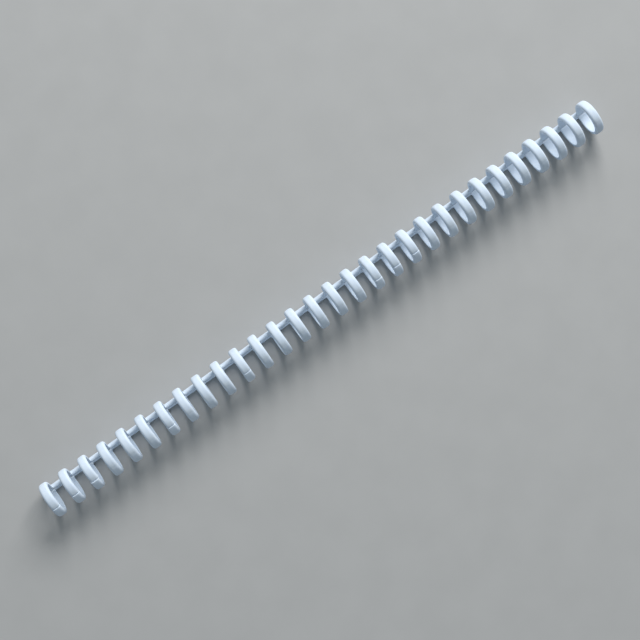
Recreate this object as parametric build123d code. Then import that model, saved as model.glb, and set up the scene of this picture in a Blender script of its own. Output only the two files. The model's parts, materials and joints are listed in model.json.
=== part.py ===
"""Loose-leaf binding comb: two half-combs joined by a film hinge along the spine.

Each half-comb is one rail with a row of half-rings. The tips of the front half-rings carry tongues that
snap into sockets in the tips of the rear half-rings, so that a closed comb is a row of full rings.

The shapes are built in the comb's own section: X along the comb, the ring centre at the origin, the spine
straight down and the tips straight up, with the front half at -Y and the rear half at +Y. They are then
turned to the attitude in which the closed comb lies by itself, on its rings and one edge of its spine.
The origin of the finished part is on the surface below the rings, halfway along the comb.
"""

import os
from math import acos, atan2, degrees, hypot

from build123d import *

# Overall sizes, mm
RING_COUNT = 30
RING_PITCH = 9.5
RING_OUTER_RADIUS = 7.75

# Ring band
RING_WALL = 1.7
BAND_WIDTH = 3.9
BAND_OUTER_ROUND = 1.0
BAND_INNER_ROUND = 0.25

# Rails, one to each half
RAIL_WIDTH = 1.2
RAIL_PROUD = 0.6  # from the rings' outside out to the spine's base
RAIL_INSET = 0.05  # from the rings' inside in to the rails' inner faces
RAIL_BASE_ROUND = 0.2
RAIL_INNER_ROUND = 0.8
GROOVE_BEVEL = 0.15
PARTING_GAP = 0.1  # between the two closed halves, at the rails and at the tips
ROOT_FILLET = 0.4  # in the corner between a band's side and its rail

# Film hinge, flush with the spine's base
FILM_WIDTH = 0.9
FILM_THICKNESS = 0.3
FILM_CLEARANCE = 0.05

# Snap tongues and their sockets
TONGUE_LENGTH = 1.5
TONGUE_WIDTH = 2.2
TONGUE_THICKNESS = 0.7
TONGUE_CHAMFER = 0.2
TONGUE_ROOT = 0.5  # how far a tongue reaches back into its own band
SOCKET_CLEARANCE = 0.12

RINGS_PER_NODE = 2

FRONT, REAR = -1, 1
SIDE_NAMES = {FRONT: "front", REAR: "rear"}

ring_inner_radius = RING_OUTER_RADIUS - RING_WALL
wall_middle_radius = RING_OUTER_RADIUS - RING_WALL / 2
base_radius = RING_OUTER_RADIUS + RAIL_PROUD
rail_inner_radius = ring_inner_radius - RAIL_INSET
rail_near = PARTING_GAP / 2
rail_far = rail_near + RAIL_WIDTH
comb_length = (RING_COUNT - 1) * RING_PITCH + BAND_WIDTH


def lying_angle():
    """Turn about X, in degrees, that lays the rings and the front rail's base edge on one plane."""
    across, down = rail_far - RAIL_BASE_ROUND, base_radius - RAIL_BASE_ROUND
    to_edge = hypot(across, down)
    return degrees(atan2(across, down) + acos((RING_OUTER_RADIUS - RAIL_BASE_ROUND) / to_edge))


LYING = Pos(0, 0, RING_OUTER_RADIUS) * Rot(lying_angle(), 0, 0)


def ring_centre(index):
    """X of a ring's middle, counted from 0."""
    return (index - (RING_COUNT - 1) / 2) * RING_PITCH


def block(x, y, z):
    """Box from three (low, high) pairs."""
    spans = (x, y, z)
    sizes = [high - low for low, high in spans]
    centre = [(high + low) / 2 for low, high in spans]
    return Pos(*centre) * Box(*sizes)


def band_section():
    """Rounded section of a ring's band, in the XZ plane above the ring's axis."""
    with BuildSketch(Plane.XZ) as section:
        with Locations((0, wall_middle_radius)):
            Rectangle(BAND_WIDTH, RING_WALL)
        fillet(section.vertices().group_by(Axis.Y)[0], BAND_INNER_ROUND)
        fillet(section.vertices().group_by(Axis.Y)[-1], BAND_OUTER_ROUND)
    return section.sketch


def root_fillets():
    """The two concave fillets between a band's sides and its rail, as deep as the ring's wall."""
    half, r = BAND_WIDTH / 2, ROOT_FILLET
    with BuildSketch() as plan:
        with BuildLine():
            Line((0, rail_far), (half + r, rail_far))
            RadiusArc((half + r, rail_far), (half, rail_far + r), r)
            Line((half, rail_far + r), (0, rail_far + r))
            Line((0, rail_far + r), (0, rail_far))
        make_face()
        mirror(about=Plane.YZ)
    depth = (RING_OUTER_RADIUS**2 - (rail_far + r) ** 2) ** 0.5 - ring_inner_radius
    return Pos(0, 0, -ring_inner_radius - depth) * extrude(plan.sketch, amount=depth)


def tongue(clearance=0):
    """A front tip's tongue, lying towards +Y, or with a clearance the room that it needs."""
    half_width = TONGUE_WIDTH / 2 + clearance
    half_thick = TONGUE_THICKNESS / 2 + clearance
    return block(
        (-half_width, half_width),
        (-rail_near - TONGUE_ROOT, TONGUE_LENGTH + clearance),
        (wall_middle_radius - half_thick, wall_middle_radius + half_thick),
    )


def plain_half_ring():
    """One half-ring about the origin, at +Y, from its rail, whose rounding its root follows, to its tip."""
    reach = base_radius + BAND_WIDTH
    whole = revolve(band_section(), Axis.X, 360)
    half = whole & block((-reach, reach), (rail_near, reach), (-reach, reach))
    half += root_fillets()
    half -= block((-reach, reach), (0, rail_far - RAIL_INNER_ROUND), (-reach, 0))
    return half - rail(REAR)


def half_ring(side):
    """One half-ring with its tongue or its socket."""
    if side == REAR:
        return plain_half_ring() - tongue(SOCKET_CLEARANCE)
    lead_in = tongue().faces().sort_by(Axis.Y)[-1].edges()
    return mirror(plain_half_ring(), about=Plane.XZ) + chamfer(lead_in, TONGUE_CHAMFER)


def rail(side):
    """One rail, with the groove's bevel, rounded edges and a rebate for half of the film."""
    notch = FILM_THICKNESS + FILM_CLEARANCE
    with BuildSketch(Plane.YZ) as section:
        with BuildLine():
            Polyline(
                (rail_near, -rail_inner_radius - GROOVE_BEVEL),
                (rail_near, -base_radius + notch),
                (FILM_WIDTH / 2, -base_radius + notch),
                (FILM_WIDTH / 2, -base_radius),
                (rail_far, -base_radius),
                (rail_far, -rail_inner_radius),
                (rail_near + GROOVE_BEVEL, -rail_inner_radius),
                close=True,
            )
        make_face()
        fillet(section.vertices().group_by(Axis.X)[-1].sort_by(Axis.Y)[0], RAIL_BASE_ROUND)
        fillet(section.vertices().group_by(Axis.X)[-1].sort_by(Axis.Y)[-1], RAIL_INNER_ROUND)
    rear = extrude(section.sketch, amount=comb_length / 2, both=True)
    return rear if side == REAR else mirror(rear, about=Plane.XZ)


def film_hinge():
    """The thin web that joins the rails, flat while the comb is closed."""
    half = FILM_WIDTH / 2
    return block(
        (-comb_length / 2, comb_length / 2),
        (-half, half),
        (-base_radius, -base_radius + FILM_THICKNESS),
    )


def write(name, *solids):
    """Lay the solids as the comb lies, and write them as one node."""
    laid = [LYING * solid for solid in solids]
    shape = laid[0] if len(laid) == 1 else Compound(children=laid)
    export_step(shape, f"parts/{name}.step")


def placed(pattern, index):
    """A half-ring in its place in the row; an end ring's outer root fillet stops at the rails' ends."""
    ring = Pos(ring_centre(index), 0, 0) * pattern
    if index in (0, RING_COUNT - 1):
        reach = 2 * base_radius
        ring &= block((-comb_length / 2, comb_length / 2), (-reach, reach), (-reach, reach))
    return ring.solid()


def ring_groups():
    """Ring indices, one group to a node."""
    for first in range(0, RING_COUNT, RINGS_PER_NODE):
        yield range(first, min(first + RINGS_PER_NODE, RING_COUNT))


os.makedirs("parts", exist_ok=True)

for side, side_name in SIDE_NAMES.items():
    write(f"{side_name}_rail", rail(side).solid())
    pattern = half_ring(side).solid()
    for group in ring_groups():
        label = f"{side_name}_half_rings_{group[0] + 1:02d}_{group[-1] + 1:02d}"
        write(label, *[placed(pattern, index) for index in group])

write("film_hinge", film_hinge().solid())
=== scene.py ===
"""Loose-leaf binding comb: satin pale-blue half-combs on a film hinge, lying on a plain surface.

Half-rings and rails are swept in the comb's own section, where X runs along the comb, the ring centre is the
origin, the spine is straight down and the tips are straight up, and then laid as the CAD frame lies.
"""

import json
from math import asin, atan2, cos, hypot, pi, radians, sin, sqrt
from random import Random

import bmesh
import bpy
from mathutils import Matrix, Vector


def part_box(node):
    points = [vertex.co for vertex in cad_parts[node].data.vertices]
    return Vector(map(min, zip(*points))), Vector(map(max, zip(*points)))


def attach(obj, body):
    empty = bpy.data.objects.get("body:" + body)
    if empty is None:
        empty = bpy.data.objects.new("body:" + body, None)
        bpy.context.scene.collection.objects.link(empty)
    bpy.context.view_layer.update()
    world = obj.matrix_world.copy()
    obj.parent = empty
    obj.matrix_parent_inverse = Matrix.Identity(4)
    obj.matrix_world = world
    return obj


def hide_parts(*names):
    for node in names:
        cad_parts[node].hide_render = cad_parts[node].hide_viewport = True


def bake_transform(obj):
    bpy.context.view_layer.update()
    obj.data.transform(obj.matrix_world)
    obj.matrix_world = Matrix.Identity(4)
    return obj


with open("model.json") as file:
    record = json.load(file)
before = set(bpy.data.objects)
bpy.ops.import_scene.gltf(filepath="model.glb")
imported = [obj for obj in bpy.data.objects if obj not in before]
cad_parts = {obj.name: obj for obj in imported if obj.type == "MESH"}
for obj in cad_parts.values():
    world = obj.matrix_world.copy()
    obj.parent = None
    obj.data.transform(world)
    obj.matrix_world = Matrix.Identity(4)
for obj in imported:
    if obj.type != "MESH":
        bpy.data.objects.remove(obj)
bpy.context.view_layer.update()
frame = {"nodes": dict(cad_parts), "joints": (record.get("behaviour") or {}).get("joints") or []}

MM = 0.001
MERGE_DISTANCE = 1e-8

# Band of a ring
BAND_WIDTH = 3.9 * MM
RING_WALL = 1.7 * MM
OUTER_ROUND = 1.0 * MM
INNER_ROUND = 0.25 * MM
CROWN = 0.04 * MM  # how far the middle of a band's outside stands over its edges
ROOT_FILLET = 0.25 * MM  # between a band's side and its rail
ROOT_SWELL = 0.15 * MM  # between a band's outside and its rail
FILLET_SHARES = (0.0, 0.015, 0.06, 0.14, 0.26, 0.42, 0.62, 1.0)  # of its radius, closest where it bends most
BEND_ANGLES = range(22, 178, 4)  # degrees from the spine round to the tip
LEAN = 0.03 * MM  # most that a tip leans along X by chance
RISE = 0.015 * MM  # most that a tip stands in or out of line by chance

# Rails and film
RAIL_WIDTH = 1.2 * MM
RAIL_SUNK = 0.05 * MM  # from the rings' inside out to the rails' inner faces
RAIL_NEAR = 0.05 * MM
RAIL_BASE_ROUND = 0.2 * MM
RAIL_INNER_ROUND = 0.95 * MM
RAIL_END_ROUND = 0.12 * MM
GROOVE_BEVEL = 0.1 * MM
GROOVE_EDGE = 0.03 * MM  # from the bevel to the next edge on the rail's inner face
FILM_WIDTH = 0.9 * MM
FILM_THICKNESS = 0.3 * MM
FILM_CLEARANCE = 0.05 * MM
FILM_OVERLAP = 0.02 * MM  # how far the film runs into each rail
FILM_COLUMNS = 12
ROOT_DEPTH = 0.04 * MM  # how near to the parting plane a half-ring's hidden root reaches
ROOT_MIDDLE = 0.7  # place of the hidden root's second loop, as a share of the way to the rail's far side

# Snap tongues and sockets
TONGUE_WIDTH = 2.2 * MM
TONGUE_THICKNESS = 0.7 * MM
TONGUE_LENGTH = 1.5 * MM
TONGUE_CHAMFER = 0.2 * MM
TONGUE_TAPER = 0.8  # how much narrower a tongue's end is at either side, as a share of its chamfer
SOCKET_CLEARANCE = 0.12 * MM
CORNER_ROUND = 0.1 * MM

# Seams between the tips
TIGHT_GAP = 0.012 * MM
TIGHT_ROUND = 0.03 * MM
OPEN_GAP = 0.1 * MM
OPEN_ROUND = 0.25 * MM
OPEN_SEAMS = (1, 2, 3, 7, 11, 18, 19, 20)  # rings whose seam shows, counted from -X
STEPPED_SEAM = 3  # the ring whose tips stand most out of line
OPEN_STEP = 0.22 * MM  # from the rear tip up to the front one
STEP = 0.3 * MM

FRONT, REAR = -1, 1
SIDE_NAMES = {FRONT: "front", REAR: "rear"}


# Places, read from the frame

def ring_nodes(side_name):
    """The CAD nodes that hold one half's half-rings, from -X to +X."""
    return sorted(n for n in frame["nodes"] if n.startswith(side_name + "_half_rings"))


rail_low, rail_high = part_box("front_rail")
comb_length = rail_high[0] - rail_low[0]
rings_low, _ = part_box(ring_nodes("front")[0])
ring_radius = -rings_low[1]
hinge = Vector(frame["joints"][0]["pos_m"])
spine = hinge - Vector((0, 0, ring_radius))
base_radius = hypot(spine.y, spine.z)
LYING = Matrix.Translation((0, 0, ring_radius)) @ Matrix.Rotation(atan2(spine.y, -spine.z), 4, "X")

ring_count = 2 * len(ring_nodes("front"))
ring_pitch = (comb_length - BAND_WIDTH) / (ring_count - 1)
wall_middle = ring_radius - RING_WALL / 2
rail_far = RAIL_NEAR + RAIL_WIDTH
rail_inner = ring_radius - RING_WALL + RAIL_SUNK


def ring_centre(number):
    """X of a ring's middle, counted from 1 at -X."""
    return (number - (ring_count + 1) / 2) * ring_pitch


# Mesh building

def arc(centre, radius, start, steps):
    """Points of a quarter turn from the start angle, anticlockwise, both ends included."""
    for step in range(steps + 1):
        angle = start + pi / 2 * step / steps
        yield centre[0] + radius * cos(angle), centre[1] + radius * sin(angle)


def spread(start, end, shares):
    """Points between two ends, at the given shares of the way."""
    for share in shares:
        yield tuple(a + (b - a) * share for a, b in zip(start, end))


def rounded_outline(left, right, low, high, low_round, high_round, crown=0.0):
    """Rounded rectangle, anticlockwise, always with the same number of points."""
    hr, lr = high_round, low_round
    points = []
    points += arc((right - hr, high - hr), hr, 0, 4)
    top = spread((right - hr, high), (left + hr, high), (0.12, 0.3, 0.5, 0.7, 0.88))
    middle, reach = (left + right) / 2, (right - left) / 2 - hr
    points += [(x, z + crown * (1 - ((x - middle) / reach) ** 2)) for x, z in top]
    points += arc((left + hr, high - hr), hr, pi / 2, 4)
    points += spread((left, high - hr), (left, low + lr), (0.25, 0.75))
    points += arc((left + lr, low + lr), lr, pi, 3)
    points += spread((left + lr, low), (right - lr, low), (0.08, 0.5, 0.92))
    points += arc((right - lr, low + lr), lr, 3 * pi / 2, 3)
    points += spread((right, low + lr), (right, high - hr), (0.25, 0.75))
    return points


def concave(distance, radius):
    """How far a concave fillet stands out, at a distance from the wall that it runs into."""
    if distance >= radius:
        return 0.0
    return radius - sqrt(radius**2 - (radius - distance) ** 2)


def skin(mesh, loops):
    """Quads between loops of equal length, with a flat cap on either end."""
    rows = [[mesh.verts.new(p) for p in loop] for loop in loops]
    for row, following in zip(rows, rows[1:]):
        for k, vertex in enumerate(row):
            after = (k + 1) % len(row)
            mesh.faces.new((vertex, row[after], following[after], following[k]))
    mesh.faces.new(rows[0])
    mesh.faces.new(rows[-1])


def finished(name, mesh, body, nodes, material):
    """Turn a built mesh into a smooth-shaded piece in the frame."""
    bmesh.ops.remove_doubles(mesh, verts=mesh.verts, dist=MERGE_DISTANCE)
    bmesh.ops.recalc_face_normals(mesh, faces=mesh.faces)
    bmesh.ops.transform(mesh, matrix=LYING, verts=mesh.verts)
    data = bpy.data.meshes.new(name)
    mesh.to_mesh(data)
    mesh.free()
    data.shade_smooth()
    data.materials.append(material)
    piece = bpy.data.objects.new(name, data)
    bpy.context.scene.collection.objects.link(piece)
    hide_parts(*nodes)
    if body:
        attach(piece, body)
    return piece


class HalfRing:
    """One swept half-ring, with its place in the row, its seam and its small unevenness."""

    def __init__(self, side, number, random):
        self.side, self.number = side, number
        self.centre = ring_centre(number)
        shows = number in OPEN_SEAMS
        self.gap = (OPEN_GAP if shows else TIGHT_GAP) / 2
        self.tip_round = OPEN_ROUND if shows else TIGHT_ROUND
        self.lean = random.uniform(-LEAN, LEAN)  # along X at the tip
        self.rise = random.uniform(-RISE, RISE)  # away from the ring's axis at the tip
        if shows:
            self.rise += (-OPEN_STEP if side == REAR else OPEN_STEP) / 2
        if number == STEPPED_SEAM and side == REAR:
            self.lean += STEP
            self.rise -= STEP / 3

    def outline(self, inset=0.0, flare=0.0, swell=0.0):
        """Band section as (x, radius); an end ring has no flare past the end of the comb."""
        left = 0.0 if self.number == 1 else flare
        right = 0.0 if self.number == ring_count else flare
        half, wall = BAND_WIDTH / 2, RING_WALL / 2
        outline = rounded_outline(
            -half - left + inset, half + right - inset, -wall + inset, wall + swell - inset,
            max(INNER_ROUND - inset, TIGHT_ROUND), max(OUTER_ROUND - inset, TIGHT_ROUND), CROWN,
        )
        return [(x, wall_middle + r) for x, r in outline]

    def at_plane(self, outline, distance):
        """The outline where a plane beside the parting plane cuts the band below the ring's axis."""
        return [self.place(x, r, asin(distance / r)) for x, r in outline]

    def at_tip(self, outline, distance):
        """The outline where such a plane cuts the band above the axis, at the tip."""
        return [self.place(x, r, pi - asin(distance / r)) for x, r in outline]

    def place(self, x, radius, angle):
        """A point of the band, with the angle counted from the spine round to the tip."""
        share = (angle / pi) ** 2
        radius += self.rise * share
        across = self.side * radius * sin(angle)
        return Vector((self.centre + x + self.lean * share, across, -radius * cos(angle)))

    def root_loops(self):
        """The root inside the rail, then its fillets as they run out of the rail."""
        for distance in (ROOT_DEPTH, ROOT_MIDDLE * rail_far):
            yield self.at_plane(self.outline(flare=ROOT_FILLET, swell=ROOT_SWELL), distance)
        for share in FILLET_SHARES:
            out = share * ROOT_FILLET
            outline = self.outline(flare=concave(out, ROOT_FILLET), swell=concave(out, ROOT_SWELL))
            yield self.at_plane(outline, rail_far + out)

    def bend_loops(self):
        for angle in BEND_ANGLES:
            yield [self.place(x, r, radians(angle)) for x, r in self.outline()]

    def tip_loops(self):
        """The rounded edge that closes in on the seam."""
        for step in range(5):
            turn = pi / 8 * step
            inset = self.tip_round * (1 - cos(turn))
            distance = self.gap + self.tip_round * (1 - sin(turn))
            yield self.at_tip(self.outline(inset=inset), distance)

    def key_outline(self, clearance=0.0, inset=0.0):
        """Outline of the tongue, or of the socket that takes it."""
        half = TONGUE_WIDTH / 2 + clearance - inset
        thick = TONGUE_THICKNESS / 2 + clearance - inset
        return rounded_outline(-half, half, -thick, thick, CORNER_ROUND, CORNER_ROUND)

    def key_loop(self, outline, distance):
        """A flat loop at a signed distance from the parting plane, on this half's side."""
        height = wall_middle + self.rise
        x_middle = self.centre + self.lean
        return [Vector((x_middle + x, self.side * distance, height + z)) for x, z in outline]

    def tongue_loops(self):
        for distance in (self.gap, TONGUE_CHAMFER - TONGUE_LENGTH):
            yield self.key_loop(self.key_outline(), distance)
        for step in (1, 2, 3):
            turn = pi / 6 * step
            inset = TONGUE_CHAMFER * TONGUE_TAPER * (1 - cos(turn))
            distance = -TONGUE_LENGTH + TONGUE_CHAMFER * (1 - sin(turn))
            yield self.key_loop(self.key_outline(inset=inset), distance)

    def socket_loops(self):
        mouth = SOCKET_CLEARANCE / 2
        yield self.key_loop(self.key_outline(SOCKET_CLEARANCE + mouth), self.gap)
        yield self.key_loop(self.key_outline(SOCKET_CLEARANCE), self.gap + mouth)
        yield self.key_loop(self.key_outline(SOCKET_CLEARANCE), TONGUE_LENGTH + SOCKET_CLEARANCE)

    def add_to(self, mesh):
        loops = [*self.root_loops(), *self.bend_loops(), *self.tip_loops()]
        loops += self.tongue_loops() if self.side == FRONT else self.socket_loops()
        skin(mesh, loops)


def build_half_rings(material):
    random = Random(30)
    for side, side_name in SIDE_NAMES.items():
        for index, node in enumerate(ring_nodes(side_name)):
            mesh = bmesh.new()
            for number in (2 * index + 1, 2 * index + 2):
                HalfRing(side, number, random).add_to(mesh)
            finished(f"moulded_{node}", mesh, f"{side_name}_half", [node], material)


# Spine

def rail_section(side, inset):
    """One rail's outline as (y, z), with the groove's bevel and the rebate for the film."""
    near, far = RAIL_NEAR + inset, rail_far - inset
    base, inner = -base_radius + inset, -rail_inner - inset
    notch = -base_radius + FILM_THICKNESS + FILM_CLEARANCE + inset
    half_film = FILM_WIDTH / 2 + inset
    inner_round = RAIL_INNER_ROUND - inset
    base_round = RAIL_BASE_ROUND - inset
    points = [(near, notch)]
    points += spread((near, notch), (near, inner - GROOVE_BEVEL), (0.5, 0.95, 1.0))
    points += spread((near, inner - GROOVE_BEVEL), (near + GROOVE_BEVEL, inner), (0.3, 0.7, 1.0))
    points += [(near + GROOVE_BEVEL + GROOVE_EDGE, inner)]
    points += reversed(list(arc((far - inner_round, inner - inner_round), inner_round, 0, 4)))
    points += spread((far, inner - inner_round), (far, base + base_round), (0.1, 0.5, 0.9))
    points += reversed(list(arc((far - base_round, base + base_round), base_round, -pi / 2, 3)))
    points += spread((far - base_round, base), (half_film, base), (0.5, 1.0))
    points += spread((half_film, base), (half_film, notch), (0.5, 1.0))
    return [(side * y, z) for y, z in points]


def build_rail(side, material):
    """A rail, its ends slightly rounded, with a loop of points at every ring's two sides."""
    half = comb_length / 2
    high_end = []
    for step in range(4):
        turn = pi / 6 * step
        high_end.append((half - RAIL_END_ROUND * (1 - sin(turn)), RAIL_END_ROUND * (1 - cos(turn))))
    low_end = [(-x, inset) for x, inset in reversed(high_end)]
    between = []
    for number in range(1, ring_count + 1):
        for offset in (-BAND_WIDTH / 2, BAND_WIDTH / 2):
            x = ring_centre(number) + offset
            if abs(x) < half - 2 * RAIL_END_ROUND:
                between.append((x, 0.0))
    loops = []
    for x, inset in [*low_end, *between, *high_end]:
        loops.append([Vector((x, y, z)) for y, z in rail_section(side, inset)])
    mesh = bmesh.new()
    skin(mesh, loops)
    name = SIDE_NAMES[side]
    finished(f"moulded_{name}_rail", mesh, f"{name}_half", [f"{name}_rail"], material)


def build_film(material):
    """The web between the rails: it runs a little into both."""
    half, reach = comb_length / 2 - RAIL_END_ROUND, FILM_WIDTH / 2 + FILM_OVERLAP
    low, high = -base_radius, -base_radius + FILM_THICKNESS
    across = [reach * (2 * k / FILM_COLUMNS - 1) for k in range(FILM_COLUMNS + 1)]
    outline = [(y, low) for y in across] + [(y, high) for y in reversed(across)]
    mesh = bmesh.new()
    skin(mesh, [[Vector((x, y, z)) for y, z in outline] for x in (-half, half)])
    film = finished("moulded_film_hinge", mesh, None, ["film_hinge"], material)
    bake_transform(film)


# Materials. A noise's scale counts its cells to the metre

NOISE_LOW, NOISE_HIGH = 0.3, 0.7  # most of a noise's values lie between these

PLASTIC_DARK = (0.638, 0.735, 0.850, 1)
PLASTIC_LIGHT = (0.672, 0.768, 0.880, 1)
PLASTIC_SMOOTHEST, PLASTIC_ROUGHEST = 0.52, 0.66
PLASTIC_IOR = 1.49
TRANSLUCENCY = 0.25
TRANSLUCENT_DEPTH = 0.8 * MM

FLOOR_DARK = (0.434, 0.436, 0.432, 1)
FLOOR_LIGHT = (0.448, 0.450, 0.446, 1)
FLOOR_ROUGHNESS = 0.75


def node_material(name):
    """A new material with its nodes, its links, its shader and the place that its noises are read at."""
    material = bpy.data.materials.new(name)
    material.use_nodes = True
    nodes = material.node_tree.nodes
    place = nodes.new("ShaderNodeTexCoord").outputs["Object"]
    return material, nodes, material.node_tree.links, nodes["Principled BSDF"], place


def noise(nodes, links, coordinates, scale, detail, roughness=0.5):
    texture = nodes.new("ShaderNodeTexNoise")
    texture.inputs["Scale"].default_value = scale
    texture.inputs["Detail"].default_value = detail
    texture.inputs["Roughness"].default_value = roughness
    links.new(coordinates, texture.inputs["Vector"])
    return texture.outputs["Fac"]


def ranged(nodes, links, value, low, high):
    """A noise's value, stretched to run from low to high."""
    stretched = nodes.new("ShaderNodeMapRange")
    stretched.inputs["From Min"].default_value = NOISE_LOW
    stretched.inputs["From Max"].default_value = NOISE_HIGH
    stretched.inputs["To Min"].default_value = low
    stretched.inputs["To Max"].default_value = high
    links.new(value, stretched.inputs["Value"])
    return stretched.outputs["Result"]


def clouded(nodes, links, value, places, colours):
    """A colour between two, by where a noise's value lies between two places."""
    ramp = nodes.new("ShaderNodeValToRGB")
    for element, place, colour in zip(ramp.color_ramp.elements, places, colours):
        element.position = place
        element.color = colour
    links.new(value, ramp.inputs["Fac"])
    return ramp.outputs["Color"]


def bumped(nodes, links, height, strength, depth, under=None):
    """The normal of a surface that follows a height, over another such surface if there is one."""
    bump = nodes.new("ShaderNodeBump")
    bump.inputs["Strength"].default_value = strength
    bump.inputs["Distance"].default_value = depth
    links.new(height, bump.inputs["Height"])
    if under is not None:
        links.new(under, bump.inputs["Normal"])
    return bump.outputs["Normal"]


def plastic_material():
    """Satin moulded plastic: faint clouding in the colour, uneven gloss and a fine mould grain."""
    material, nodes, links, shader, place = node_material("ice_blue_plastic")
    clouding = noise(nodes, links, place, scale=160, detail=3)
    colours = (PLASTIC_DARK, PLASTIC_LIGHT)
    colour = clouded(nodes, links, clouding, (NOISE_LOW, NOISE_HIGH), colours)
    links.new(colour, shader.inputs["Base Color"])
    unevenness = noise(nodes, links, place, scale=900, detail=4)
    gloss = ranged(nodes, links, unevenness, PLASTIC_SMOOTHEST, PLASTIC_ROUGHEST)
    links.new(gloss, shader.inputs["Roughness"])
    shader.inputs["Subsurface Weight"].default_value = TRANSLUCENCY
    shader.inputs["Subsurface Radius"].default_value = (1.0, 1.0, 1.0)
    shader.inputs["Subsurface Scale"].default_value = TRANSLUCENT_DEPTH
    shader.inputs["IOR"].default_value = PLASTIC_IOR
    grain = noise(nodes, links, place, scale=4200, detail=3, roughness=0.6)
    grained = bumped(nodes, links, grain, strength=0.35, depth=0.01 * MM)
    ripple = noise(nodes, links, place, scale=420, detail=2)
    rippled = bumped(nodes, links, ripple, strength=0.5, depth=0.02 * MM, under=grained)
    links.new(rippled, shader.inputs["Normal"])
    return material


def floor_material():
    """Plain matt grey card."""
    material, nodes, links, shader, place = node_material("floor_card")
    clouding = noise(nodes, links, place, scale=60, detail=4)
    colour = clouded(nodes, links, clouding, (0.35, 0.65), (FLOOR_DARK, FLOOR_LIGHT))
    links.new(colour, shader.inputs["Base Color"])
    shader.inputs["Roughness"].default_value = FLOOR_ROUGHNESS
    grain = noise(nodes, links, place, scale=1800, detail=4)
    grained = bumped(nodes, links, grain, strength=0.25, depth=0.03 * MM)
    links.new(grained, shader.inputs["Normal"])
    return material


# Surroundings

FLOOR_SIZE = 6.0
CAMERA_HEIGHT = 0.587
CAMERA_ALONG = -0.045  # X of the camera, which stands nearer to the -X end
LOOK_ALONG = -0.0054  # the point that it looks at, in the rings' middle plane
LOOK_ACROSS = -0.0037
COMB_SLOPE = radians(35.48)  # of the comb in the picture, from its lower left to its upper right
LENS = 78.3
SENSOR = 36.0
CLIP_START = 0.01
WINDOW_PLACE = (0.3, 1.8, 1.2)  # towards the picture's right, towards its top, and up off the surface
WINDOW_WIDTH = 1.5
WINDOW_HEIGHT = 1.0
WINDOW_POWER = 58.0
WINDOW_COLOUR = (1.0, 0.99, 0.98)
ROOM_COLOUR = (0.82, 0.93, 1.0, 1)
ROOM_STRENGTH = 0.32


def build_floor():
    """A plane under the comb, which sinks where the opened rear half reaches lower than the closed comb."""
    data = bpy.data.meshes.new("floor")
    reach = FLOOR_SIZE / 2
    corners = [(-reach, -reach, 0), (reach, -reach, 0), (reach, reach, 0), (-reach, reach, 0)]
    data.from_pydata(corners, [], [(0, 1, 2, 3)])
    data.materials.append(floor_material())
    floor = bpy.data.objects.new("floor", data)
    bpy.context.scene.collection.objects.link(floor)
    rear_centre = bpy.data.objects.new("rear_ring_centre", None)
    bpy.context.scene.collection.objects.link(rear_centre)
    rear_centre.location = (0, 0, ring_radius)
    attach(rear_centre, "rear_half")
    floor.location.z = -ring_radius
    follow = floor.constraints.new("COPY_LOCATION")
    follow.target = rear_centre
    follow.use_x = follow.use_y = False
    follow.use_offset = True
    stay_low = floor.constraints.new("LIMIT_LOCATION")
    stay_low.use_max_z = True
    stay_low.max_z = 0.0


def picture_axes():
    """The picture's right and up on the surface, and straight up off it."""
    right = Vector((cos(COMB_SLOPE), -sin(COMB_SLOPE), 0))
    up = Vector((sin(COMB_SLOPE), cos(COMB_SLOPE), 0))
    return right, up, Vector((0, 0, 1))


def build_camera():
    data = bpy.data.cameras.new("camera")
    data.lens = LENS
    data.sensor_width = SENSOR
    data.clip_start = CLIP_START
    camera = bpy.data.objects.new("camera", data)
    bpy.context.scene.collection.objects.link(camera)
    camera.location = (CAMERA_ALONG, 0, CAMERA_HEIGHT)
    target = Vector((LOOK_ALONG, LOOK_ACROSS, ring_radius))
    back = (camera.location - target).normalized()
    right = picture_axes()[1].cross(back).normalized()
    up = back.cross(right)
    camera.rotation_mode = "QUATERNION"
    camera.rotation_quaternion = Matrix((right, up, back)).transposed().to_quaternion()
    bpy.context.scene.camera = camera


def build_window():
    """A soft light beyond the picture's top, aimed at the comb."""
    data = bpy.data.lights.new("window", "AREA")
    data.shape = "RECTANGLE"
    data.size, data.size_y = WINDOW_WIDTH, WINDOW_HEIGHT
    data.energy = WINDOW_POWER
    data.color = WINDOW_COLOUR
    light = bpy.data.objects.new("window", data)
    bpy.context.scene.collection.objects.link(light)
    light.location = sum((axis * share for axis, share in zip(picture_axes(), WINDOW_PLACE)), Vector())
    light.rotation_mode = "QUATERNION"
    light.rotation_quaternion = light.location.to_track_quat("Z", "Y")


def build_room():
    """Even light from all round, and colours shown as they are."""
    world = bpy.data.worlds.new("room")
    world.use_nodes = True
    sky = world.node_tree.nodes["Background"]
    sky.inputs["Color"].default_value = ROOM_COLOUR
    sky.inputs["Strength"].default_value = ROOM_STRENGTH
    bpy.context.scene.world = world
    bpy.context.scene.view_settings.view_transform = "Standard"


plastic = plastic_material()
build_half_rings(plastic)
build_rail(FRONT, plastic)
build_rail(REAR, plastic)
build_film(plastic)
build_floor()
build_camera()
build_window()
build_room()
